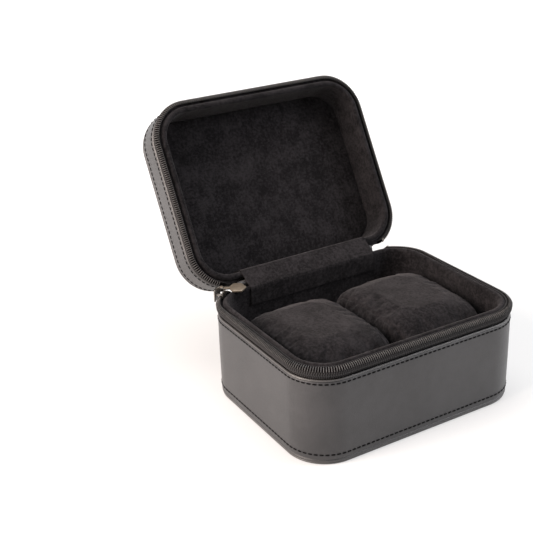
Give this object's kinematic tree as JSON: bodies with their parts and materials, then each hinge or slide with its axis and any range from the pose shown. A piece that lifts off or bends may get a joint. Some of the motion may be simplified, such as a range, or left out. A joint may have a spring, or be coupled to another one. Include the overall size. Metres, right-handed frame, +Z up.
{
  "type": "watch travel case",
  "caption": "Leather-covered oblong travel case with a zipped, hinged lid, suede lining and two lift-out watch cushions.",
  "frame": {"origin": "centre of the base's underside", "axes": "+Z up, X along the hinge, +Y from the front to the hinge"},
  "size_m": [0.142, 0.1898, 0.1517],
  "materials": {
    "leather": "smooth fine-grained calf, satin",
    "suede": "short suede nap, matt",
    "zip_tape": "woven ribbed tape, matt",
    "zip_coil": "moulded coil, semi-matt",
    "nickel": "polished warm nickel",
    "board": "pressed fibre board, raw",
    "foam": "open foam, matt"
  },
  "bodies": {
    "base": {"base_wall_board": "board", "base_floor_board": "board", "base_leather_band": "leather", "base_bottom_panel": "leather", "base_zip_tape": "zip_tape", "base_zip_coil": "zip_coil", "base_rim_roll": "suede", "base_lining_wall": "suede", "base_floor_pad": "suede", "base_zip_stops": "nickel", "hinge_spine": "leather", "hinge_flap": "suede"},
    "lid": {"lid_wall_board": "board", "lid_top_board": "board", "lid_leather_band": "leather", "lid_top_foam": "foam", "lid_top_panel": "leather", "lid_zip_tape": "zip_tape", "lid_zip_coil": "zip_coil", "lid_zip_end": "zip_tape", "lid_rim_roll": "suede", "lid_lining_wall": "suede", "lid_lining_pad": "suede", "lid_zip_stop": "nickel"},
    "zip_slider": {"slider_body": "nickel", "pull_pin": "nickel"},
    "zip_pull": {"pull_link": "nickel", "pull_plate": "nickel"},
    "cushion_left": {"cushion_left_cover": "suede", "cushion_left_core": "foam"},
    "cushion_right": {"cushion_right_cover": "suede", "cushion_right_core": "foam"}
  },
  "joints": [
    {"name": "lid_hinge", "type": "hinge", "parent": "base", "child": "lid", "pos_m": [0, 0.055, 0.05695], "axis": [1, 0, 0], "range_deg": [0, 120], "deforming": ["hinge_spine", "hinge_flap", "lid_zip_end"]},
    {"name": "zip_slider_run", "type": "hinge", "parent": "base", "child": "zip_slider", "pos_m": [-0.0475, 0.0325, 0.05695], "axis": [0, 0, 1], "range_deg": [0, 36], "deforming": ["lid_zip_end"]},
    {"name": "pull_swing", "type": "hinge", "parent": "zip_slider", "child": "zip_pull", "pos_m": [-0.05828, 0.05461, 0.05695], "axis": [0.4848, 0.8746, 0], "range_deg": [-85, 0]},
    {"name": "cushion_left_lift", "type": "slide", "parent": "base", "child": "cushion_left", "axis": [0, 0, -1], "range_m": [-0.02, 0]},
    {"name": "cushion_right_lift", "type": "slide", "parent": "base", "child": "cushion_right", "axis": [0, 0, -1], "range_m": [-0.02, 0]}
  ]
}
